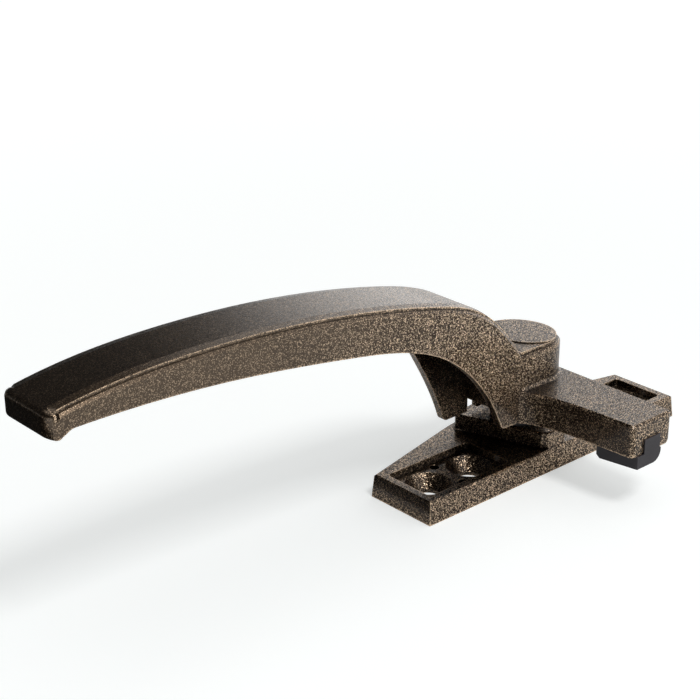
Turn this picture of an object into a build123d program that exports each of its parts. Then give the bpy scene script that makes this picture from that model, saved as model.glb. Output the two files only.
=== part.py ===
from build123d import *
import os
from math import atan, degrees

# Cockspur window handle: a die-cast handle with a grip, a round hub and a nose (the tongue that
# reaches over the frame), turning on a steel spindle in a screwed-down die-cast base plate.
# Millimetres. Origin: the spindle axis at the underside of the base plate. +Z away from the sash,
# +X along the nose, the grip lies along -Y in the closed position.

# ---------------------------------------------------------------- driving dimensions
# base plate
base_length = 78.6
end_width = 17.0
straight_side_x = 11.9
bulge_side_x = -12.5
bulge_half_length = 8.0
bulge_radius = 40.0
rim_height = 5.2
wall_draft = 5.0
end_corner_radius = 1.2
rim_bevel = 0.3

# screw pockets at both ends
pocket_rim = 2.05
pocket_end_rim = 1.9
pocket_inner_y = 13.6
pocket_depth = 1.5
pocket_corner = 1.0
pocket_draft = 8.0

# screw and locating holes
screw_pitch = 12.2
screw_end_distance = 7.7
screw_head_d = 10.2
screw_bore_d = 5.5
screw_land = 0.8
locating_pitch = 8.8
locating_d = 2.2

# platform under the hub
platform_height = 3.65
platform_right_x = 11.1
platform_right_half = 2.7
platform_shoulder_x = 9.9
platform_shoulder_half = 3.7
platform_left_x = -9.9
platform_left_half = 10.9
platform_left_bulge = 1.2
platform_corner = 0.6
platform_foot_radius = 0.4

# spindle, bush and the friction stack under the base
spindle_d = 8.0
spindle_hub_depth = 12.0
spindle_lead = 0.5
bore_relief = 0.5
spindle_end_z = 0.25
bush_wall = 1.2
bush_flange_d = 13.2
bush_flange = 1.0
stack_recess_d = 16.4
stack_recess_depth = 3.4
washer_d = 14.8
washer_thickness = 0.6
spring_outer_d = 14.2
spring_thickness = 0.4
spring_height = 0.8
stop_disc_d = 12.6
stop_thickness = 0.8
neck_d = 6.8
neck_flats = 5.4
ring_thickness = 0.6
ring_groove_d = 5.2
ring_outer_d = 10.4
ring_gap = 2.6
running_clearance = 0.05
axial_clearance = 0.06

# stop lug on the keyed washer and its quarter-turn track in the base
lug_radius = 8.8
lug_d = 3.0
lug_rest_angle = -45.0
lug_clearance = 0.15
quarter_turn = 90.0
track_depth = 2.4

# hub of the handle
hub_bottom_gap = 4.15
hub_height = 16.1
hub_side = 9.15
hub_back_y = 6.8
hub_back_radius_nose = 7.6
hub_back_flat = 0.4
hub_boss_d = 12.8
hub_disc_step = 0.25
hub_disc_d = 16.6
hub_disc_y = 1.6

# side view of neck and grip: where they lie along the grip, how far the top line rises above
# the hub's top there, and how deep the section is below the top line
neck_foot_y = -9.6
neck_y = -19.1
neck_rise = 10.7
neck_heel_y = -15.3
neck_heel_rise = 12.3
neck_heel_reach = 7.1
neck_heel_radius = 1.8
arch_y = -33.0
arch_rise = 16.7
arch_depth = 11.4
palm_y = -57.5
palm_rise = 21.45
palm_depth = 9.0
crest_y = -90.0
crest_rise = 23.9
crest_depth = 7.35
grip_tip_y = -124.3
grip_tip_rise = 21.1
grip_tip_depth = 5.05
tip_lip_length = 2.0
tip_lip_slope = 2.6
tip_lip_drop = 1.4
tip_lip_radius = 1.2
tip_lip_foot_radius = 2.5

# grip in plan, and the moulding along the top: a raised panel above a bevelled ledge
grip_tip_half = 7.8
grip_tip_edge = 1.2
panel_inset = 0.85
panel_height = 0.95
panel_start = 1.5
panel_depth = 3.0
panel_bevel = 1.75
panel_bevel_drop = 0.3
ledge_bevel = 0.5

# neck channel, open below
neck_wall = 1.8
channel_front_y = -9.35
channel_front_roof = 4.6
channel_roof = 4.8
channel_end_y = -59.0
channel_end_roof = 7.1
apron_drop = 3.2
apron_corner = 1.3
apron_lap_share = 0.75
apron_front_y = -16.7
apron_lap_y = -28.6
apron_lap_rise = 3.2

# nose
nose_tip_x = 36.4
nose_near_y = -5.75
nose_root_y = -10.4
nose_waist_x = 14.5
nose_waist_y = -7.95
nose_thickness = 7.2
nose_lap = 0.1
nose_far_corner = 1.1
nose_near_corner = 1.2
nose_root_radius = 0.8
nose_tip_edge = 0.5
nose_far_bevel = 1.4

# wedge insert in the nose, and the pocket cored out behind it
slot_width = 5.1
slot_y = 0.4
slot_depth = 3.3
slot_length = 10.0
slot_lead = 0.7
core_width = 7.2
core_depth = 4.6
core_start_x = 13.0
core_wall = 2.0
core_corner = 1.5
insert_clearance = 0.03
foot_depth = 2.9
foot_length = 9.6
foot_overhang = 0.4
foot_near_root_y = -5.9
foot_near_tip_y = -4.2
foot_far_y = 3.3
foot_lead_radius = 2.4
foot_heel = 0.8
peg_d = 3.0
peg_height = 1.8

# how far off its level an edge may lie and still be counted on it
level_margin = 0.01

# ---------------------------------------------------------------- places worked out from them
half_length = base_length / 2
mount_x = straight_side_x - end_width / 2
end_left_x = straight_side_x - end_width
pocket_width = end_width - 2 * pocket_rim
pocket_length = half_length - pocket_end_rim - pocket_inner_y
pocket_mid_y = pocket_inner_y + pocket_length / 2
pocket_floor_z = rim_height - pocket_depth
screw_outer_y = half_length - screw_end_distance
screw_inner_y = screw_outer_y - screw_pitch
locating_y = screw_outer_y - screw_pitch / 2
sink_depth = pocket_floor_z - screw_land
sink_angle = 2 * degrees(atan((screw_head_d - screw_bore_d) / 2 / sink_depth))
platform_z = rim_height + platform_height
platform_back_x = platform_left_x - platform_left_bulge
hub_bottom_z = platform_z + hub_bottom_gap
hub_top_z = hub_bottom_z + hub_height
neck_z = hub_top_z + neck_rise
arch_z = hub_top_z + arch_rise
palm_z = hub_top_z + palm_rise
crest_z = hub_top_z + crest_rise
grip_tip_z = hub_top_z + grip_tip_rise
grip_tip_bottom_z = grip_tip_z - grip_tip_depth
lip_end_y = grip_tip_y + tip_lip_length
lip_foot_y = lip_end_y + tip_lip_slope
lip_foot_z = grip_tip_bottom_z + tip_lip_drop
panel_start_y = grip_tip_y + panel_start
grip_flare = (hub_side - grip_tip_half) / (hub_back_y - grip_tip_y)
panel_start_half = grip_tip_half + grip_flare * panel_start
flange_top_z = platform_z + bush_flange
hub_back_radius_far = 2 * hub_side - hub_back_flat - hub_back_radius_nose
nose_top_z = hub_bottom_z + nose_thickness
apron_bottom_z = hub_bottom_z - apron_drop
washer_bottom_z = stack_recess_depth - washer_thickness
spring_bottom_z = washer_bottom_z - spring_height
stop_top_z = spring_bottom_z - axial_clearance
stop_bottom_z = stop_top_z - stop_thickness
ring_bottom_z = stop_bottom_z - ring_thickness
shoulder_z = stop_top_z + axial_clearance / 2
spindle_top_z = hub_bottom_z + spindle_hub_depth
bush_d = spindle_d + 2 * (running_clearance + bush_wall)
boss_bottom_z = flange_top_z + axial_clearance
slot_root_x = nose_tip_x - slot_length
slot_roof_z = hub_bottom_z + slot_depth
core_end_x = slot_root_x - core_wall
foot_tip_x = nose_tip_x + foot_overhang
foot_root_x = foot_tip_x - foot_length
peg_x = slot_root_x + slot_length / 2

os.makedirs("parts", exist_ok=True)


# ================================================================ parts that stay on the sash
# Base plate: one casting, straight on the frame side, bulged on the glass side
with BuildPart() as base_plate:
    with BuildSketch(Plane.XY.offset(rim_height)):
        with BuildLine():
            Polyline(
                (straight_side_x, -half_length),
                (straight_side_x, half_length),
                (end_left_x, half_length),
                (bulge_side_x, bulge_half_length),
                (bulge_side_x, -bulge_half_length),
                (end_left_x, -half_length),
                close=True,
            )
        outline = make_face()
        bulge_corners = outline.vertices().group_by(Axis.X)[0]
        fillet(bulge_corners, bulge_radius)
        end_corners = outline.vertices().filter_by(lambda v: abs(v.Y) > half_length - end_corner_radius)
        fillet(end_corners, end_corner_radius)
    extrude(amount=-rim_height, taper=-wall_draft)
    chamfer(base_plate.edges().group_by(Axis.Z)[-1], rim_bevel)

    # platform that carries the hub, its front and back faces running across at a slant
    with BuildSketch(Plane.XY.offset(rim_height)):
        with BuildLine():
            Polyline(
                (platform_left_x, -platform_left_half),
                (platform_shoulder_x, -platform_shoulder_half),
                (platform_right_x, -platform_right_half),
                (platform_right_x, platform_right_half),
                (platform_shoulder_x, platform_shoulder_half),
                (platform_left_x, platform_left_half),
            )
            ThreePointArc(
                (platform_left_x, platform_left_half),
                (platform_back_x, 0),
                (platform_left_x, -platform_left_half),
            )
        platform_face = make_face()
        chamfer(platform_face.vertices().group_by(Axis.X)[0], platform_corner)
    extrude(amount=platform_height)
    chamfer(base_plate.edges().group_by(Axis.Z)[-1], rim_bevel)
    foot_low_z = rim_height - level_margin
    foot_high_z = rim_height + level_margin
    foot_edges = base_plate.edges().filter_by_position(Axis.Z, foot_low_z, foot_high_z)
    foot_edges = foot_edges.filter_by(lambda e: abs(e.center().Y) < platform_left_half)
    foot_edges = foot_edges.filter_by(lambda e: e.center().X < platform_right_x + rim_bevel / 2)
    foot_edges = foot_edges.filter_by(lambda e: e.center().X > platform_back_x - rim_bevel / 2)
    fillet(foot_edges, platform_foot_radius)

    # sunk pockets with a rim all round
    with BuildSketch(Plane.XY.offset(rim_height)):
        with Locations((mount_x, pocket_mid_y), (mount_x, -pocket_mid_y)):
            RectangleRounded(pocket_width, pocket_length, pocket_corner)
    extrude(amount=-pocket_depth, taper=pocket_draft, mode=Mode.SUBTRACT)

    # two countersunk screw holes and two small locating holes in each pocket
    with Locations(Plane.XY.offset(pocket_floor_z)):
        with Locations(
            (mount_x, -screw_outer_y),
            (mount_x, -screw_inner_y),
            (mount_x, screw_inner_y),
            (mount_x, screw_outer_y),
        ):
            CounterSinkHole(screw_bore_d / 2, screw_head_d / 2, counter_sink_angle=sink_angle)
        with Locations(
            (mount_x - locating_pitch / 2, -locating_y),
            (mount_x + locating_pitch / 2, -locating_y),
            (mount_x - locating_pitch / 2, locating_y),
            (mount_x + locating_pitch / 2, locating_y),
        ):
            Hole(locating_d / 2)

    # bore for the bush, recess for the friction stack and the quarter-turn track of the stop lug
    with BuildSketch(Plane.XY):
        Circle(bush_d / 2)
    extrude(amount=platform_z, mode=Mode.SUBTRACT)
    with BuildSketch(Plane.XY):
        Circle(stack_recess_d / 2)
    extrude(amount=stack_recess_depth, mode=Mode.SUBTRACT)
    with BuildSketch(Plane.XY):
        with BuildLine():
            track = CenterArc((0, 0), lug_radius, lug_rest_angle - quarter_turn, quarter_turn)
        SlotArc(track, lug_d + 2 * lug_clearance)
    extrude(amount=track_depth, mode=Mode.SUBTRACT)
base_plate.part.label = "base_plate"
export_step(base_plate.part, "parts/base_plate.step")

# Flanged bush: lines the bore, its flange keeps the hub off the platform
with BuildPart() as pivot_bush:
    with BuildSketch(Plane.XY.offset(stack_recess_depth)):
        Circle(bush_d / 2)
    extrude(amount=flange_top_z - stack_recess_depth)
    with BuildSketch(Plane.XY.offset(platform_z)):
        Circle(bush_flange_d / 2)
    extrude(amount=bush_flange)
    with BuildSketch(Plane.XY):
        Circle(spindle_d / 2 + running_clearance)
    extrude(amount=flange_top_z, mode=Mode.SUBTRACT)
pivot_bush.part.label = "pivot_bush"
export_step(pivot_bush.part, "parts/pivot_bush.step")

# Friction washer: lies against the roof of the recess
with BuildPart() as friction_washer:
    with BuildSketch(Plane.XY.offset(washer_bottom_z)):
        Circle(washer_d / 2)
        Circle(spindle_d / 2 + running_clearance, mode=Mode.SUBTRACT)
    extrude(amount=washer_thickness)
friction_washer.part.label = "friction_washer"
export_step(friction_washer.part, "parts/friction_washer.step")

# Disc spring: a shallow steel cone between the friction washer and the keyed stop disc
with BuildPart() as disc_spring:
    with BuildSketch(Plane.XZ):
        with BuildLine():
            Polyline(
                (spindle_d / 2 + running_clearance, washer_bottom_z - spring_thickness),
                (spring_outer_d / 2, spring_bottom_z),
                (spring_outer_d / 2, spring_bottom_z + spring_thickness),
                (spindle_d / 2 + running_clearance, washer_bottom_z),
                close=True,
            )
        make_face()
    revolve(axis=Axis.Z)
disc_spring.part.label = "disc_spring"
export_step(disc_spring.part, "parts/disc_spring.step")

# ================================================================ parts that turn with the handle
# Spindle: pressed into the hub, with a flatted neck and a ring groove at its lower end
with BuildPart() as spindle:
    with BuildSketch(Plane.XY.offset(shoulder_z)):
        Circle(spindle_d / 2)
    extrude(amount=spindle_top_z - shoulder_z)
    chamfer(spindle.edges().group_by(Axis.Z)[-1], spindle_lead)
    with BuildSketch(Plane.XY.offset(spindle_end_z)):
        Circle(neck_d / 2)
        Rectangle(neck_flats, neck_d, mode=Mode.INTERSECT)
    extrude(amount=shoulder_z - spindle_end_z)
    with BuildSketch(Plane.XY.offset(ring_bottom_z)):
        Circle(neck_d)
        Circle(ring_groove_d / 2, mode=Mode.SUBTRACT)
    extrude(amount=ring_thickness, mode=Mode.SUBTRACT)
spindle.part.label = "spindle"
export_step(spindle.part, "parts/spindle.step")

# Stop disc: keyed on the spindle's flats, its lug runs in the track of the base plate
with BuildPart() as stop_disc:
    with BuildSketch(Plane.XY.offset(stop_bottom_z)):
        Circle(stop_disc_d / 2)
        with Locations(Rot(0, 0, lug_rest_angle)):
            with Locations((lug_radius / 2, 0)):
                Rectangle(lug_radius, lug_d)
            with Locations((lug_radius, 0)):
                Circle(lug_d / 2)
        with BuildSketch(mode=Mode.SUBTRACT):
            Circle(neck_d / 2 + running_clearance)
            Rectangle(
                neck_flats + 2 * running_clearance,
                neck_d + 2 * running_clearance,
                mode=Mode.INTERSECT,
            )
    extrude(amount=stop_thickness)
stop_disc.part.label = "stop_disc"
export_step(stop_disc.part, "parts/stop_disc.step")

# Retaining ring: an open spring clip in the groove of the spindle
with BuildPart() as retaining_ring:
    with BuildSketch(Plane.XY.offset(ring_bottom_z)):
        Circle(ring_outer_d / 2)
        Circle(ring_groove_d / 2, mode=Mode.SUBTRACT)
        with Locations((0, ring_outer_d / 2)):
            Rectangle(ring_gap, ring_outer_d, mode=Mode.SUBTRACT)
    extrude(amount=ring_thickness)
retaining_ring.part.label = "retaining_ring"
export_step(retaining_ring.part, "parts/retaining_ring.step")

# Room inside the neck: the walls stay parallel to the outside and it is open below
with BuildPart() as neck_channel:
    with BuildSketch(Plane.YZ):
        with BuildLine():
            Spline(
                (channel_front_y, hub_top_z - channel_front_roof),
                (neck_y, neck_z - channel_roof),
                (arch_y, arch_z - channel_roof),
                (channel_end_y, palm_z - channel_end_roof),
            )
            Polyline(
                (channel_end_y, palm_z - channel_end_roof),
                (channel_end_y, 0),
                (channel_front_y, 0),
                (channel_front_y, hub_top_z - channel_front_roof),
            )
        make_face()
    extrude(amount=hub_side, both=True)
    with BuildSketch(Plane.XY):
        with BuildLine():
            Polyline(
                (hub_side - neck_wall, hub_back_y),
                (grip_tip_half - neck_wall, grip_tip_y),
                (neck_wall - grip_tip_half, grip_tip_y),
                (neck_wall - hub_side, hub_back_y),
                close=True,
            )
        make_face()
    extrude(amount=crest_z, mode=Mode.INTERSECT)

# Top line of hub, neck and grip in the side view, and the same line at the ledge and in the metal
with BuildLine() as top_line:
    Line((hub_back_y, hub_top_z), (neck_foot_y, hub_top_z))
    Spline(
        (neck_foot_y, hub_top_z),
        (neck_y, neck_z),
        (arch_y, arch_z),
        (palm_y, palm_z),
        (crest_y, crest_z),
        (grip_tip_y, grip_tip_z),
        tangents=[(-0.55, 0.83), (-1, -0.22)],
        tangent_scalars=[0.6, 1],
    )
ledge_line = Pos(0, -panel_height) * top_line.line
panel_floor_line = Pos(0, -panel_depth) * top_line.line

# Raised panel along the top of hub and grip; short of the tip it spreads to the full width
with BuildPart() as top_panel:
    with BuildSketch(Plane.YZ.offset(-hub_side)):
        with BuildLine():
            add(top_line.line)
            Line((grip_tip_y, grip_tip_z), (grip_tip_y, grip_tip_z - panel_depth))
            add(panel_floor_line)
            Line((hub_back_y, hub_top_z - panel_depth), (hub_back_y, hub_top_z))
        make_face()
    extrude(amount=2 * hub_side)
    with BuildSketch(Plane.XY) as panel_plan:
        with BuildLine():
            Polyline(
                (hub_side - panel_inset, hub_back_y - panel_inset),
                (panel_start_half - panel_inset, panel_start_y),
                (panel_start_half, panel_start_y),
                (grip_tip_half, grip_tip_y),
                (-grip_tip_half, grip_tip_y),
                (-panel_start_half, panel_start_y),
                (panel_inset - panel_start_half, panel_start_y),
                (panel_inset - hub_side, hub_back_y - panel_inset),
                close=True,
            )
        make_face()
        back_corners = panel_plan.vertices().group_by(Axis.Y)[-1].sort_by(Axis.X)
        fillet(back_corners[-1], hub_back_radius_nose - panel_inset)
        back_corners = panel_plan.vertices().group_by(Axis.Y)[-1].sort_by(Axis.X)
        fillet(back_corners[0], hub_back_radius_far - panel_inset)
    extrude(amount=2 * crest_z, mode=Mode.INTERSECT)
    grip_top = top_panel.faces().filter_by(GeomType.PLANE, reverse=True).sort_by(Axis.Z)[-1]
    grip_rims = grip_top.edges().filter_by(lambda e: e.length > neck_foot_y - grip_tip_y)
    chamfer(grip_rims, length=panel_bevel, length2=panel_bevel_drop, reference=grip_top)

# Nose: straight on the far side, swept in from the neck on the near side
with BuildPart() as nose_arm:
    with BuildSketch(Plane.XY.offset(hub_bottom_z)) as nose_plan:
        with BuildLine():
            Spline(
                (hub_side - nose_lap, nose_root_y),
                (nose_waist_x, nose_waist_y),
                (nose_tip_x, nose_near_y),
                tangents=[(0.75, 0.65), (1, 0.05)],
            )
            Polyline(
                (nose_tip_x, nose_near_y),
                (nose_tip_x, hub_back_y),
                (0, hub_back_y),
                (0, nose_root_y),
                (hub_side - nose_lap, nose_root_y),
            )
        make_face()
        fillet(nose_plan.vertices().sort_by_distance((nose_tip_x, nose_near_y))[0], nose_near_corner)
    extrude(amount=nose_thickness)
    low_edges = nose_arm.faces().sort_by(Axis.Z)[0].edges()
    chamfer(low_edges.filter_by(Axis.X).sort_by(Axis.Y)[-1], nose_far_bevel)
    tip_edges = nose_arm.faces().sort_by(Axis.X)[-1].edges()
    fillet(tip_edges.filter_by(Axis.Z).sort_by(Axis.Y)[-1], nose_far_corner)
    top_edges = nose_arm.faces().sort_by(Axis.Z)[-1].edges()
    tip_edges = top_edges.filter_by(lambda e: e.center().X > nose_tip_x - nose_near_corner)
    chamfer(tip_edges, nose_tip_edge)

# Handle body: grip, neck, hub and nose in one casting
with BuildPart() as handle_body:
    # side view of grip, neck and hub up to the ledge, the raised panel on it
    with BuildSketch(Plane.YZ.offset(-hub_side)) as side:
        with BuildLine():
            add(ledge_line)
            Line((hub_back_y, hub_top_z - panel_height), (hub_back_y, hub_bottom_z))
            Polyline(
                (grip_tip_y, grip_tip_z - panel_height),
                (grip_tip_y, grip_tip_bottom_z),
                (lip_end_y, grip_tip_bottom_z),
                (lip_foot_y, lip_foot_z),
            )
            Spline(
                (lip_foot_y, lip_foot_z),
                (crest_y, crest_z - crest_depth),
                (palm_y, palm_z - palm_depth),
                (arch_y, arch_z - arch_depth),
                (neck_heel_y - neck_heel_reach, hub_bottom_z + neck_heel_rise),
                (neck_heel_y, hub_bottom_z),
                tangents=[(1, 0.02), (0.35, -0.94)],
            )
            Line((neck_heel_y, hub_bottom_z), (hub_back_y, hub_bottom_z))
        make_face()
        fillet(side.vertices().sort_by_distance((neck_heel_y, hub_bottom_z))[0], neck_heel_radius)
        fillet(side.vertices().sort_by_distance((lip_end_y, grip_tip_bottom_z))[0], tip_lip_radius)
        fillet(side.vertices().sort_by_distance((lip_foot_y, lip_foot_z))[0], tip_lip_foot_radius)
    extrude(amount=2 * hub_side)

    # apron: the neck wall away from the nose reaches down close to the platform
    with BuildSketch(Plane.YZ) as apron:
        with BuildLine():
            Spline(
                (apron_lap_y, hub_top_z + apron_lap_rise),
                (neck_heel_y - neck_heel_reach, hub_bottom_z + apron_lap_share * neck_heel_rise),
                (apron_front_y, apron_bottom_z),
                tangents=[(0.5, -0.75), (0.32, -0.95)],
            )
            Polyline(
                (apron_front_y, apron_bottom_z),
                (channel_front_y, apron_bottom_z),
                (channel_front_y, nose_top_z),
                (neck_y, hub_top_z),
                (apron_lap_y, hub_top_z + apron_lap_rise),
            )
        make_face()
        fillet(apron.vertices().sort_by_distance((apron_front_y, apron_bottom_z))[0], apron_corner)
    extrude(amount=-2 * hub_side)

    # plan view: the sides draw in towards the tip, the hub is rounded at the back
    with BuildSketch(Plane.XY) as plan:
        with BuildLine():
            Polyline(
                (hub_side, hub_back_y),
                (grip_tip_half, grip_tip_y),
                (-grip_tip_half, grip_tip_y),
                (-hub_side, hub_back_y),
                close=True,
            )
        make_face()
        fillet(plan.vertices().sort_by_distance((hub_side, hub_back_y))[0], hub_back_radius_nose)
        fillet(plan.vertices().sort_by_distance((-hub_side, hub_back_y))[0], hub_back_radius_far)
    extrude(amount=2 * crest_z, mode=Mode.INTERSECT)

    # bevelled ledge, and the panel on it
    ledge_faces = handle_body.faces().filter_by(lambda f: f.normal_at().Z > 0.3)
    ledge_faces = ledge_faces.filter_by(lambda f: f.center().Z > hub_top_z - 2 * panel_height)
    full_width = grip_tip_half + grip_tip_half / 2
    ledge_faces = ledge_faces.filter_by(lambda f: f.bounding_box().size.X > full_width)
    ledge_edges = ShapeList([e for f in ledge_faces for e in f.edges()])
    cross_edges = ledge_edges.filter_by(Axis.X).filter_by(lambda e: e.center().Y < 0)
    chamfer([e for e in ledge_edges if e not in cross_edges], ledge_bevel)
    add(top_panel.part)
    tip_face = handle_body.faces().sort_by(Axis.Y)[0]
    fillet(tip_face.edges(), grip_tip_edge)

    # round disc that stands a little proud of the hub's top
    with BuildSketch(Plane.XY.offset(hub_top_z)):
        with Locations((0, neck_foot_y)):
            Rectangle(2 * hub_side, hub_disc_y - neck_foot_y, align=(Align.CENTER, Align.MIN))
        with Locations((0, hub_disc_y)):
            Circle(hub_disc_d / 2, mode=Mode.SUBTRACT)
    extrude(amount=-hub_disc_step, mode=Mode.SUBTRACT)

    # nose
    add(nose_arm.part)
    root_low_z = nose_top_z - level_margin
    root_high_z = nose_top_z + level_margin
    root_edges = handle_body.edges().filter_by_position(Axis.Z, root_low_z, root_high_z)
    root_edges = root_edges.filter_by(lambda e: e.center().X < hub_side)
    fillet(root_edges, nose_root_radius)

    # boss that rides on the flange of the bush
    with BuildSketch(Plane.XY.offset(boss_bottom_z)):
        Circle(hub_boss_d / 2)
    extrude(amount=hub_bottom_z - boss_bottom_z)

    # hollow neck
    add(neck_channel.part, mode=Mode.SUBTRACT)

    # bore for the spindle
    with BuildSketch(Plane.XY.offset(boss_bottom_z)):
        Circle(spindle_d / 2)
    extrude(amount=spindle_top_z + bore_relief - boss_bottom_z, mode=Mode.SUBTRACT)

    # slot for the insert, the peg hole in its roof and the pocket cored out behind it
    with BuildSketch(Plane.XY.offset(hub_bottom_z)):
        with Locations((slot_root_x, slot_y)):
            Rectangle(2 * slot_length, slot_width, align=(Align.MIN, Align.CENTER))
    extrude(amount=slot_depth, mode=Mode.SUBTRACT)
    rim_low_z = hub_bottom_z - level_margin
    rim_high_z = hub_bottom_z + level_margin
    slot_rims = handle_body.edges().filter_by_position(Axis.Z, rim_low_z, rim_high_z)
    slot_rims = slot_rims.filter_by(Axis.X).filter_by(lambda e: abs(e.center().Y - slot_y) < slot_width)
    fillet(slot_rims, slot_lead)
    with BuildSketch(Plane.XY.offset(slot_roof_z)):
        with Locations((peg_x, slot_y)):
            Circle(peg_d / 2)
    extrude(amount=peg_height + insert_clearance, mode=Mode.SUBTRACT)
    with BuildSketch(Plane.XY.offset(hub_bottom_z)):
        with Locations(((core_start_x + core_end_x) / 2, slot_y)):
            RectangleRounded(core_end_x - core_start_x, core_width, core_corner)
    extrude(amount=core_depth, mode=Mode.SUBTRACT)
handle_body.part.label = "handle_body"
export_step(handle_body.part, "parts/handle_body.step")

# Wedge insert: its stem fills the slot of the nose, its foot bears on the frame
with BuildPart() as wedge_insert:
    with BuildSketch(Plane.XY.offset(hub_bottom_z)):
        with BuildLine():
            Polyline(
                (foot_root_x, foot_near_root_y),
                (foot_tip_x, foot_near_tip_y),
                (foot_tip_x, foot_far_y),
                (foot_root_x, foot_far_y),
                close=True,
            )
        make_face()
    extrude(amount=-foot_depth)
    bottom_edges = wedge_insert.edges().group_by(Axis.Z)[0]
    fillet(bottom_edges.sort_by(Axis.Y)[-1], foot_lead_radius)
    chamfer(wedge_insert.faces().sort_by(Axis.X)[0].edges().group_by(Axis.Z)[0], foot_heel)
    with BuildSketch(Plane.XY.offset(hub_bottom_z)):
        with Locations((slot_root_x + insert_clearance, slot_y)):
            Rectangle(
                foot_tip_x - slot_root_x - insert_clearance,
                slot_width - 2 * insert_clearance,
                align=(Align.MIN, Align.CENTER),
            )
    extrude(amount=slot_depth - insert_clearance)
    with BuildSketch(Plane.XY.offset(slot_roof_z - insert_clearance)):
        with Locations((peg_x, slot_y)):
            Circle(peg_d / 2 - insert_clearance)
    extrude(amount=peg_height)
wedge_insert.part.label = "wedge_insert"
export_step(wedge_insert.part, "parts/wedge_insert.step")
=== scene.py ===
import math

import bmesh
import bpy
from mathutils import Matrix, Vector


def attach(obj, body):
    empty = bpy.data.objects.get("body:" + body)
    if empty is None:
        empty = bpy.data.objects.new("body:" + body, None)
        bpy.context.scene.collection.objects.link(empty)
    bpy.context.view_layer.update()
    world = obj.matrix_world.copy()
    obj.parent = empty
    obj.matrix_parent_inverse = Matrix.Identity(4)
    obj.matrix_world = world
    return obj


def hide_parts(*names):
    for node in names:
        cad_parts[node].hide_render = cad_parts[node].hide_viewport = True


# A cockspur window handle in bronze powder coat, standing on a pale studio floor.
# Metres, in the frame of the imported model: the spindle is the Z axis, the nose points along +X
# and the grip along -Y.

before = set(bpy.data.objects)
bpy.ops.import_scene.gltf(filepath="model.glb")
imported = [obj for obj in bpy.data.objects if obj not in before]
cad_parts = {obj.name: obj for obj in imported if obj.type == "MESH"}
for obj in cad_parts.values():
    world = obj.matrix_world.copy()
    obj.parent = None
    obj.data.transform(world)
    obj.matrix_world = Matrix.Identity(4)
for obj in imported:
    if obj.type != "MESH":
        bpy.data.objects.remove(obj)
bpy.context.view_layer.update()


# ---------------------------------------------------------------- shader maths
class Value:
    """One output of a shader node that can be used in sums."""

    def __init__(self, shader, socket):
        self.shader = shader
        self.socket = socket

    def _sum(self, operation, first, second):
        return self.shader.node("ShaderNodeMath", {"operation": operation}, {0: first, 1: second})

    def __add__(self, other):
        return self._sum("ADD", self, other)

    __radd__ = __add__

    def __sub__(self, other):
        return self._sum("SUBTRACT", self, other)

    def __rsub__(self, other):
        return self._sum("SUBTRACT", other, self)

    def __mul__(self, other):
        return self._sum("MULTIPLY", self, other)

    __rmul__ = __mul__

    def __truediv__(self, other):
        return self._sum("DIVIDE", self, other)

    def __pow__(self, other):
        return self._sum("POWER", self, other)


class Shader:
    """A tree of shader nodes under construction."""

    def __init__(self, tree):
        self.tree = tree
        self.tree.nodes.clear()

    def node(self, kind, settings, sockets, output=0):
        """Adds a node: its settings first, then a value or a link for each named socket."""
        made = self.tree.nodes.new(kind)
        for key, value in settings.items():
            setattr(made, key, value)
        for key, value in sockets.items():
            target = self._input(made, key)
            if isinstance(value, Value):
                self.tree.links.new(value.socket, target)
            else:
                target.default_value = value
        if output is None:
            return None
        shown = [socket for socket in made.outputs if socket.enabled]
        return Value(self, shown[output] if isinstance(output, int) else made.outputs[output])

    def _input(self, made, key):
        if isinstance(key, int):
            return made.inputs[key]
        for socket in made.inputs:
            if socket.identifier == key or (socket.name == key and socket.enabled):
                return socket
        raise KeyError(key)

    def coordinates(self):
        return self.node("ShaderNodeTexCoord", {}, {}, "Object")

    def noise(self, where, scale, detail):
        sockets = {"Vector": where, "Scale": scale, "Detail": detail, "Roughness": 0.5}
        return self.node("ShaderNodeTexNoise", {}, sockets)

    def vector(self, operation, first, second, output="Vector"):
        sockets = {0: first, 1: second}
        return self.node("ShaderNodeVectorMath", {"operation": operation}, sockets, output)

    def axis(self, vector, name):
        return self.node("ShaderNodeSeparateXYZ", {}, {"Vector": vector}, name)

    def mix(self, factor, first, second):
        sockets = {"Factor_Float": factor, "A_Color": first, "B_Color": second}
        return self.node("ShaderNodeMix", {"data_type": "RGBA"}, sockets)

    def ramp(self, value, low, high):
        """0 below low, 1 above high, smooth between them."""
        sockets = {"Value": value, "From Min": low, "From Max": high}
        return self.node("ShaderNodeMapRange", {"interpolation_type": "SMOOTHSTEP"}, sockets)

    def edges(self, reach, low, high, samples=4):
        """1 along the outer edges, 0 where the metal or plastic is deeper than reach all round."""
        settings = {"samples": samples, "inside": True, "only_local": True}
        depth = self.node("ShaderNodeAmbientOcclusion", settings, {"Distance": reach}, "AO")
        return self.ramp(1 - depth, low, high)

    def openness(self, reach, low, high, samples):
        """1 on open faces, 0 in hollows narrower than reach."""
        settings = {"samples": samples, "only_local": True}
        room = self.node("ShaderNodeAmbientOcclusion", settings, {"Distance": reach}, "AO")
        return self.ramp(room, low, high)

    def bump(self, height, strength, distance, under=None):
        sockets = {"Height": height, "Strength": strength, "Distance": distance}
        if under is not None:
            sockets["Normal"] = under
        return self.node("ShaderNodeBump", {}, sockets)

    def light_path(self, ray):
        return self.node("ShaderNodeLightPath", {}, {}, ray)

    def principled(self, sockets):
        surface = self.node("ShaderNodeBsdfPrincipled", {}, sockets)
        self.node("ShaderNodeOutputMaterial", {}, {"Surface": surface}, None)


def new_material(name):
    material = bpy.data.materials.new(name)
    material.use_nodes = True
    return material, Shader(material.node_tree)


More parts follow.
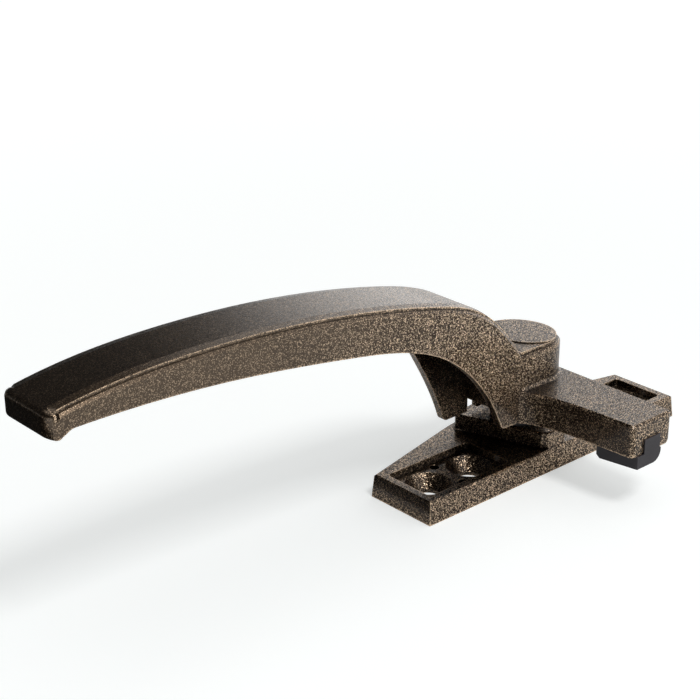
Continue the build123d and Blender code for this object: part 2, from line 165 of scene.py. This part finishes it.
# ---------------------------------------------------------------- finishes
FLAKE_GOLD = (0.97, 0.72, 0.49, 1)
GROUND_DARK = (0.024, 0.014, 0.008, 1)
GROUND_BROWN = (0.038, 0.024, 0.014, 1)
# Ground colour in the hollows: painted shade.
GROUND_PAINTED_SHADE = (0.009, 0.006, 0.004, 1)
CLOUD_SCALE = 60.0
FLAKE_LEAN = 0.4
WORN_LEAN = 0.2
NEW_LEAN = 0.45
GRIP_WORN_Y = -0.085
GRIP_NEW_Y = -0.02
WORN_GLINT = 0.045
PEEL_PER_FLAKE = 0.45
PEEL_DEPTH = 0.3
EDGE_RADIUS = 0.0002
EDGE_REACH = 0.0004
# More gold along the outer edges: a painted highlight.
EDGE_PAINTED_HIGHLIGHT = 0.45
# Hollows: painted shade, with fewer gold flakes and a darker ground where the surface is enclosed.
HOLLOW_REACH = 0.014
HOLLOW_SHADE_GLINT = 0.05


def powder_coat(name, flake_size, cover, worn=False):
    """Bronze powder coat: gold flakes, each lying at its own slant, in a dark brown ground.

    More gold is painted along the outer edges as a painted highlight. The hollows get fewer flakes
    and a darker ground as painted shade. Worn: the flakes are rubbed flatter and duller along the
    grip.
    """
    material, s = new_material(name)
    place = s.coordinates()
    flakes = {"Vector": place, "Scale": 1 / flake_size}
    flake = s.node("ShaderNodeTexVoronoi", {}, flakes, "Color")
    peel = s.noise(place, PEEL_PER_FLAKE / flake_size, 2.0)
    cloud = s.noise(place, CLOUD_SCALE, 3.0)
    rounded = s.node("ShaderNodeBevel", {"samples": 4}, {"Radius": EDGE_RADIUS})
    # Edge mask: the outer edges get more gold, a painted highlight.
    edge = s.edges(EDGE_REACH, 0.16, 0.36, samples=6)
    # Openness mask: 0 in the hollows, where painted shade is laid into the colour.
    unshaded_open = s.openness(HOLLOW_REACH, 0.4, 0.92, samples=6)

    # The edges push more flakes to gold: painted highlight.
    glint = s.ramp(s.axis(flake, "Z") + edge * EDGE_PAINTED_HIGHLIGHT, 1.0 - cover, 1.0)
    # Fewer flakes in the hollows: painted shade.
    glint = glint * (unshaded_open * (1 - HOLLOW_SHADE_GLINT) + HOLLOW_SHADE_GLINT)
    lean = FLAKE_LEAN
    if worn:
        new = s.ramp(s.axis(place, "Y"), GRIP_WORN_Y, GRIP_NEW_Y)
        # On the grip the edges keep their gold, a painted highlight, while the rest is worn duller.
        glint = glint * (new * 0.7 + edge * 0.5 + 0.3) + (1 - new) * (1 - edge) * WORN_GLINT
        lean = new * (NEW_LEAN - WORN_LEAN) + WORN_LEAN

    slant = s.vector("SUBTRACT", flake, (0.5, 0.5, 0.5))
    slant = s.node("ShaderNodeVectorMath", {"operation": "SCALE"}, {0: slant, "Scale": lean})
    normal = s.bump(peel, 0.5, PEEL_DEPTH * flake_size, rounded)
    normal = s.vector("NORMALIZE", s.vector("ADD", normal, slant), (0, 0, 0))
    ground = s.mix(s.ramp(cloud, 0.3, 0.7), GROUND_DARK, GROUND_BROWN)
    # Darker ground in the hollows: painted shade.
    ground = s.mix(unshaded_open, GROUND_PAINTED_SHADE, ground)
    s.principled({
        "Base Color": s.mix(glint, ground, FLAKE_GOLD),
        "Metallic": 1.0,
        "Roughness": s.ramp(peel, 0.2, 0.8) * 0.10 + 0.27,
        "Coat Weight": 0.45,
        "Coat Roughness": 0.12,
        "Coat IOR": 1.5,
        "Normal": normal,
    })
    return material


def moulded(name, colour, roughness, mottle):
    """Injection-moulded plastic: a spark-eroded skin, a little paler where it is handled."""
    material, s = new_material(name)
    place = s.coordinates()
    skin = s.noise(place, 5500.0, 2.0)
    flow = s.noise(place, 260.0, 4.0)
    edge = s.edges(0.0006, 0.2, 0.5)
    paler = tuple(c * mottle + 0.012 for c in colour[:3]) + (1,)
    s.principled({
        "Base Color": s.mix(s.ramp(flow, 0.3, 0.75) * 0.5 + edge * 0.5, colour, paler),
        "Roughness": skin * 0.12 + flow * 0.1 + roughness - edge * 0.08,
        "Normal": s.bump(skin + flow * 0.4, 0.35, 0.00004),
    })
    return material


def turned_metal(name, colour, stained, roughness, ring_pitch):
    """Turned or blanked metal: fine rings about the spindle, stained plating and bright edges."""
    material, s = new_material(name)
    place = s.coordinates()
    radius = s.vector("LENGTH", s.vector("MULTIPLY", place, (1, 1, 0)), (0, 0, 0), "Value")
    wobble = s.noise(place, 900.0, 2.0)
    turns = (radius + wobble * 0.0001) * (2 * math.pi / ring_pitch)
    rings = s.node("ShaderNodeMath", {"operation": "SINE"}, {0: turns})
    stain = s.noise(place, 380.0, 4.0)
    edge = s.edges(0.0005, 0.2, 0.5)
    skin = s.mix(s.ramp(stain, 0.35, 0.7), colour, stained)
    bright = tuple(min(1.0, c * 1.5 + 0.05) for c in colour[:3]) + (1,)
    s.principled({
        "Base Color": s.mix(edge * 0.7, skin, bright),
        "Metallic": 1.0,
        "Roughness": stain * 0.15 + rings * 0.03 + roughness,
        "Normal": s.bump(rings * 0.5 + wobble, 0.25, 0.00002),
    })
    return material


def dress(node, material):
    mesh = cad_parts[node].data
    mesh.materials.clear()
    mesh.materials.append(material)


# ---------------------------------------------------------------- the handle's casting
GRIP_END_Y = -0.1243
GRIP_END_HALF = 0.0078
GRIP_END_ROUND = 0.0026
GRIP_END_STEPS = 6
GRIP_TOP_Z = 0.0478
GRIP_TOP_DROP = 0.0009
HUB_WALL_LOW = (-0.00895, -0.0063, 0.0099)
HUB_WALL_HIGH = (-0.00715, -0.0005, 0.0135)
HUB_WALL_ROUND = 0.0003
SHARP_ANGLE = math.radians(40)


def corner_vectors(vectors, name, count):
    """The flat list of numbers that a mesh keeps at its corners."""
    numbers = [0.0] * (3 * count)
    vectors.foreach_get(name, numbers)
    return numbers


def cut_grip_end(shape):
    """Cuts the end of the grip into narrow strips, so that it can be rounded."""
    cuts = []
    for step in range(GRIP_END_STEPS + 1):
        inward = GRIP_END_ROUND * step / GRIP_END_STEPS
        cuts.append(((0, GRIP_END_Y + inward, 0), (0, 1, 0)))
        for side in (-1, 1):
            cuts.append(((side * (GRIP_END_HALF - inward), 0, 0), (1, 0, 0)))
    reach_y = GRIP_END_Y + 1.2 * GRIP_END_ROUND
    for point, across in cuts:
        near = [face for face in shape.faces if min(v.co.y for v in face.verts) < reach_y]
        parts = list(near)
        parts += dict.fromkeys(edge for face in near for edge in face.edges)
        parts += dict.fromkeys(corner for face in near for corner in face.verts)
        bmesh.ops.bisect_plane(
            shape, geom=parts, plane_co=point, plane_no=across, dist=0.000001)
    bmesh.ops.triangulate(shape, faces=shape.faces)


def round_grip_end(shape, eased):
    """Draws the square corners of the grip's end round, and its top corners down a little."""
    for corner in shape.verts:
        u = (abs(corner.co.x) - GRIP_END_HALF + GRIP_END_ROUND) / GRIP_END_ROUND
        v = (GRIP_END_Y + GRIP_END_ROUND - corner.co.y) / GRIP_END_ROUND
        if u <= 0 or v <= 0:
            continue
        u = min(u, 1.0)
        v = min(v, 1.0)
        side = 1 if corner.co.x > 0 else -1
        for face in corner.link_faces:
            face[eased] = 1
        if corner.co.z > GRIP_TOP_Z:
            corner.co.z -= GRIP_TOP_DROP * u * u * min(1.0, 2.5 * v)
        outward = GRIP_END_ROUND * u * math.sqrt(1 - v * v / 2)
        corner.co.x = side * (GRIP_END_HALF - GRIP_END_ROUND + outward)
        corner.co.y = GRIP_END_Y + GRIP_END_ROUND - GRIP_END_ROUND * v * math.sqrt(1 - u * u / 2)


def hub_wall(shape, eased):
    """The short wall under the far side of the hub. A notch parts it from the neck's wall."""
    wall = bmesh.ops.create_cube(shape, size=1.0)["verts"]
    for corner in wall:
        for axis in range(3):
            corner.co[axis] = (HUB_WALL_HIGH if corner.co[axis] > 0 else HUB_WALL_LOW)[axis]
    edges = list(dict.fromkeys(edge for corner in wall for edge in corner.link_edges))
    rounded = bmesh.ops.bevel(
        shape, geom=edges, offset=HUB_WALL_ROUND, segments=3, profile=0.5, affect="EDGES")
    for corner in rounded["verts"]:
        for face in corner.link_faces:
            face[eased] = 1
    bmesh.ops.triangulate(shape, faces=shape.faces)


def handle_casting(coat):
    """The handle's casting with the end of the grip eased and the wall under the hub.

    Only the eased faces are shaded anew, the rest keeps the shading of the machined shape.
    """
    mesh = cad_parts["handle_body"].data.copy()
    piece = bpy.data.objects.new("handle_casting", mesh)
    bpy.context.scene.collection.objects.link(piece)
    machined = mesh.attributes.new("machined", "FLOAT_VECTOR", "CORNER")
    numbers = corner_vectors(mesh.corner_normals, "vector", len(mesh.loops))
    machined.data.foreach_set("vector", numbers)
    mesh.attributes.remove(mesh.attributes["custom_normal"])

    shape = bmesh.new()
    shape.from_mesh(mesh)
    eased = shape.faces.layers.int.new("eased")
    bmesh.ops.remove_doubles(shape, verts=shape.verts, dist=0.000002)
    cut_grip_end(shape)
    round_grip_end(shape, eased)
    hub_wall(shape, eased)
    shape.to_mesh(mesh)
    shape.free()

    mesh.shade_smooth()
    mesh.set_sharp_from_angle(angle=SHARP_ANGLE)
    anew = corner_vectors(mesh.corner_normals, "vector", len(mesh.loops))
    kept = corner_vectors(mesh.attributes["machined"].data, "vector", len(mesh.loops))
    is_eased = mesh.attributes["eased"].data
    normals = []
    for face in mesh.polygons:
        source = anew if is_eased[face.index].value else kept
        for loop in face.loop_indices:
            normals.append(Vector(source[3 * loop:3 * loop + 3]).normalized())
    mesh.normals_split_custom_set(normals)
    mesh.attributes.remove(mesh.attributes["machined"])
    mesh.attributes.remove(mesh.attributes["eased"])

    mesh.materials.clear()
    mesh.materials.append(coat)
    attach(piece, "handle")
    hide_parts("handle_body")


# ---------------------------------------------------------------- the pieces and their finishes
handle_casting(powder_coat("handle_powder_coat", 0.00014, 0.29, worn=True))
dress("base_plate", powder_coat("base_powder_coat", 0.00015, 0.34))

dress("wedge_insert", moulded("black_nylon", (0.014, 0.011, 0.015, 1), 0.36, 1.6))
dress("pivot_bush", moulded("black_acetal", (0.016, 0.016, 0.017, 1), 0.3, 1.4))
dress("friction_washer", moulded("natural_nylon", (0.58, 0.54, 0.45, 1), 0.38, 1.15))

zinc = (0.52, 0.53, 0.55, 1)
yellowed_zinc = (0.46, 0.47, 0.42, 1)
plated_steel = turned_metal("zinc_plated_steel", zinc, yellowed_zinc, 0.22, 0.00032)
blued = (0.10, 0.10, 0.115, 1)
oiled = (0.07, 0.06, 0.055, 1)
spring_steel = turned_metal("spring_steel", blued, oiled, 0.3, 0.0004)
dress("spindle", plated_steel)
dress("stop_disc", plated_steel)
dress("disc_spring", spring_steel)
dress("retaining_ring", spring_steel)


# ---------------------------------------------------------------- studio
FLOOR_HALF = 3.0
FLOOR_GLOW = 0.47
# Extra camera glow away from the handle, so the floor near it is darker: painted shade.
FLOOR_FAR_GLOW = 0.13
# Glow that only reflections see, away from the handle and on the right: a painted reflection.
FLOOR_PAINTED_REFLECTION = 0.5
FLOOR_GREY = (0.85, 0.86, 0.86, 1)
# The camera sees a darker matt floor than reflections and bounced light do: painted light in
# reflections and bounces.
FLOOR_SEEN_GREY = (0.68, 0.69, 0.69, 1)
FLOOR_TINT = (0.975, 1, 0.99, 1)

# A dark sheet that only reflections see: painted shade on the floor at the front left.
CARD_CORNERS = [(-0.6, -0.043, 0.001), (-0.6, -0.6, 0.001), (0.06, -0.6, 0.001),
                (0.022, -0.043, 0.001)]
CARD_SHADE_BLACK = (0.03, 0.03, 0.03, 1)

LAMP_PLACE = (0.61 * 1.03, -0.12 * 1.03, 1.03)
LAMP_AIM = (0, -0.06, 0)
LAMP_SIZE = 0.28
LAMP_POWER = 5.0

WALL_MIDDLE = math.radians(65.0)
WALL_HALF = math.radians(66.0)
WALL_FADE = math.radians(14.0)
WALL_LEVEL = 1.5
WALL_DROP = 0.6
ROOM_LEVEL = 0.04
CEILING_LEVEL = 0.8
CEILING_LOW = math.radians(55.0)
CEILING_FULL = math.radians(70.0)
BACKDROP_WHITE = 0.93

CAMERA_PLACE = (0.22467, -0.2503, 0.16628)
CAMERA_YAW = math.radians(48.37)
CAMERA_PITCH = math.radians(23.0)
CAMERA_ROLL = math.radians(-0.21)
CAMERA_LENS = 84.91


def flat_piece(name, corners, material):
    mesh = bpy.data.meshes.new(name)
    mesh.from_pydata(corners, [], [tuple(range(len(corners)))])
    mesh.materials.append(material)
    piece = bpy.data.objects.new(name, mesh)
    bpy.context.scene.collection.objects.link(piece)
    return piece


def floor():
    """Pale matt floor. It glows white for the camera, less near the handle, which is painted shade
    around it. Away from the handle and on the right it also glows in reflections alone, which is a
    painted reflection.
    """
    material, s = new_material("studio_floor")
    place = s.coordinates()
    x = s.axis(place, "X")
    y = s.axis(place, "Y")
    away = (x * x + y * y) ** 0.5
    seen = s.light_path("Is Camera Ray")
    mirrored = s.light_path("Is Glossy Ray")
    grey = s.mix(seen, FLOOR_GREY, FLOOR_SEEN_GREY)
    matt = s.node("ShaderNodeBsdfDiffuse", {}, {"Color": grey})
    # Camera glow, weaker near the handle: painted shade around it.
    shown = seen * (s.ramp(away, 0.08, 0.5) * FLOOR_FAR_GLOW + FLOOR_GLOW)
    # Glow in reflections alone, away from the handle and on the right side: a painted reflection.
    right_side_painted_reflection = s.ramp(x, 0.03, 0.12) * 0.6
    shine = (s.ramp(away, 0.12, 0.4) * 0.7 + right_side_painted_reflection) * FLOOR_PAINTED_REFLECTION
    strength = shown + mirrored * shine
    glow = s.node("ShaderNodeEmission", {}, {"Color": FLOOR_TINT, "Strength": strength})
    both = s.node("ShaderNodeAddShader", {}, {0: matt, 1: glow})
    s.node("ShaderNodeOutputMaterial", {}, {"Surface": both}, None)
    half = FLOOR_HALF
    corners = [(-half, -half, 0), (half, -half, 0), (half, half, 0), (-half, half, 0)]
    flat_piece("studio_floor", corners, material)


def shade_reflection_card():
    """A dark card on the floor at the front left, which only reflections show: painted shade on the
    floor there, seen in the reflections.
    """
    material, s = new_material("shade_reflection_card")
    matt = s.node("ShaderNodeBsdfDiffuse", {}, {"Color": CARD_SHADE_BLACK})
    s.node("ShaderNodeOutputMaterial", {}, {"Surface": matt}, None)
    card = flat_piece("shade_reflection_card", CARD_CORNERS, material)
    card.visible_camera = False
    card.visible_diffuse = False
    card.visible_shadow = False


def key_lamp():
    """A soft box above the nose's side."""
    light = bpy.data.lights.new("key_box", "AREA")
    light.shape = "RECTANGLE"
    light.size = LAMP_SIZE
    light.size_y = LAMP_SIZE
    light.energy = LAMP_POWER
    lamp = bpy.data.objects.new("key_box", light)
    lamp.location = LAMP_PLACE
    beam = Vector(LAMP_AIM) - Vector(LAMP_PLACE)
    lamp.rotation_euler = beam.to_track_quat("-Z", "Y").to_euler()
    bpy.context.scene.collection.objects.link(lamp)


def studio_room():
    """White walls behind and to the right, a soft ceiling, and the dark room on the other sides."""
    room = bpy.data.worlds.new("studio_room")
    room.use_nodes = True
    s = Shader(room.node_tree)
    direction = s.node("ShaderNodeTexCoord", {}, {}, "Generated")
    x = s.axis(direction, "X")
    y = s.axis(direction, "Y")
    z = s.axis(direction, "Z")
    level = (x * x + y * y + 0.000001) ** 0.5
    facing = (x * math.cos(WALL_MIDDLE) + y * math.sin(WALL_MIDDLE)) / level
    wall = s.ramp(facing, math.cos(WALL_HALF + WALL_FADE), math.cos(WALL_HALF))
    ceiling = s.ramp(z, math.sin(CEILING_LOW), math.sin(CEILING_FULL))
    height = s.ramp(z, 0.0, 0.6)
    shine = wall * (1 - ceiling) * (WALL_LEVEL - ROOM_LEVEL - height * WALL_DROP)
    shine = shine + ceiling * (CEILING_LEVEL - ROOM_LEVEL) + ROOM_LEVEL
    seen = s.light_path("Is Camera Ray")
    shown = shine * (1 - seen) + seen * BACKDROP_WHITE
    back = s.node("ShaderNodeBackground", {}, {"Color": (1, 1, 1, 1), "Strength": shown})
    s.node("ShaderNodeOutputWorld", {}, {"Surface": back}, None)
    bpy.context.scene.world = room


def camera():
    yaw, pitch, roll = CAMERA_YAW, CAMERA_PITCH, CAMERA_ROLL
    back = Vector((
        math.sin(yaw) * math.cos(pitch),
        -math.cos(yaw) * math.cos(pitch),
        math.sin(pitch),
    ))
    level = Vector((math.cos(yaw), math.sin(yaw), 0))
    up = back.cross(level)
    right = level * math.cos(roll) + up * math.sin(roll)
    top = up * math.cos(roll) - level * math.sin(roll)
    lens = bpy.data.cameras.new("camera")
    lens.sensor_width = 36.0
    lens.lens = CAMERA_LENS
    lens.clip_start = 0.01
    eye = bpy.data.objects.new("camera", lens)
    turn = Matrix((right, top, back)).transposed().to_4x4()
    eye.matrix_world = Matrix.Translation(CAMERA_PLACE) @ turn
    bpy.context.scene.collection.objects.link(eye)
    bpy.context.scene.camera = eye


floor()
shade_reflection_card()
key_lamp()
studio_room()
camera()
bpy.context.scene.view_settings.view_transform = "Standard"
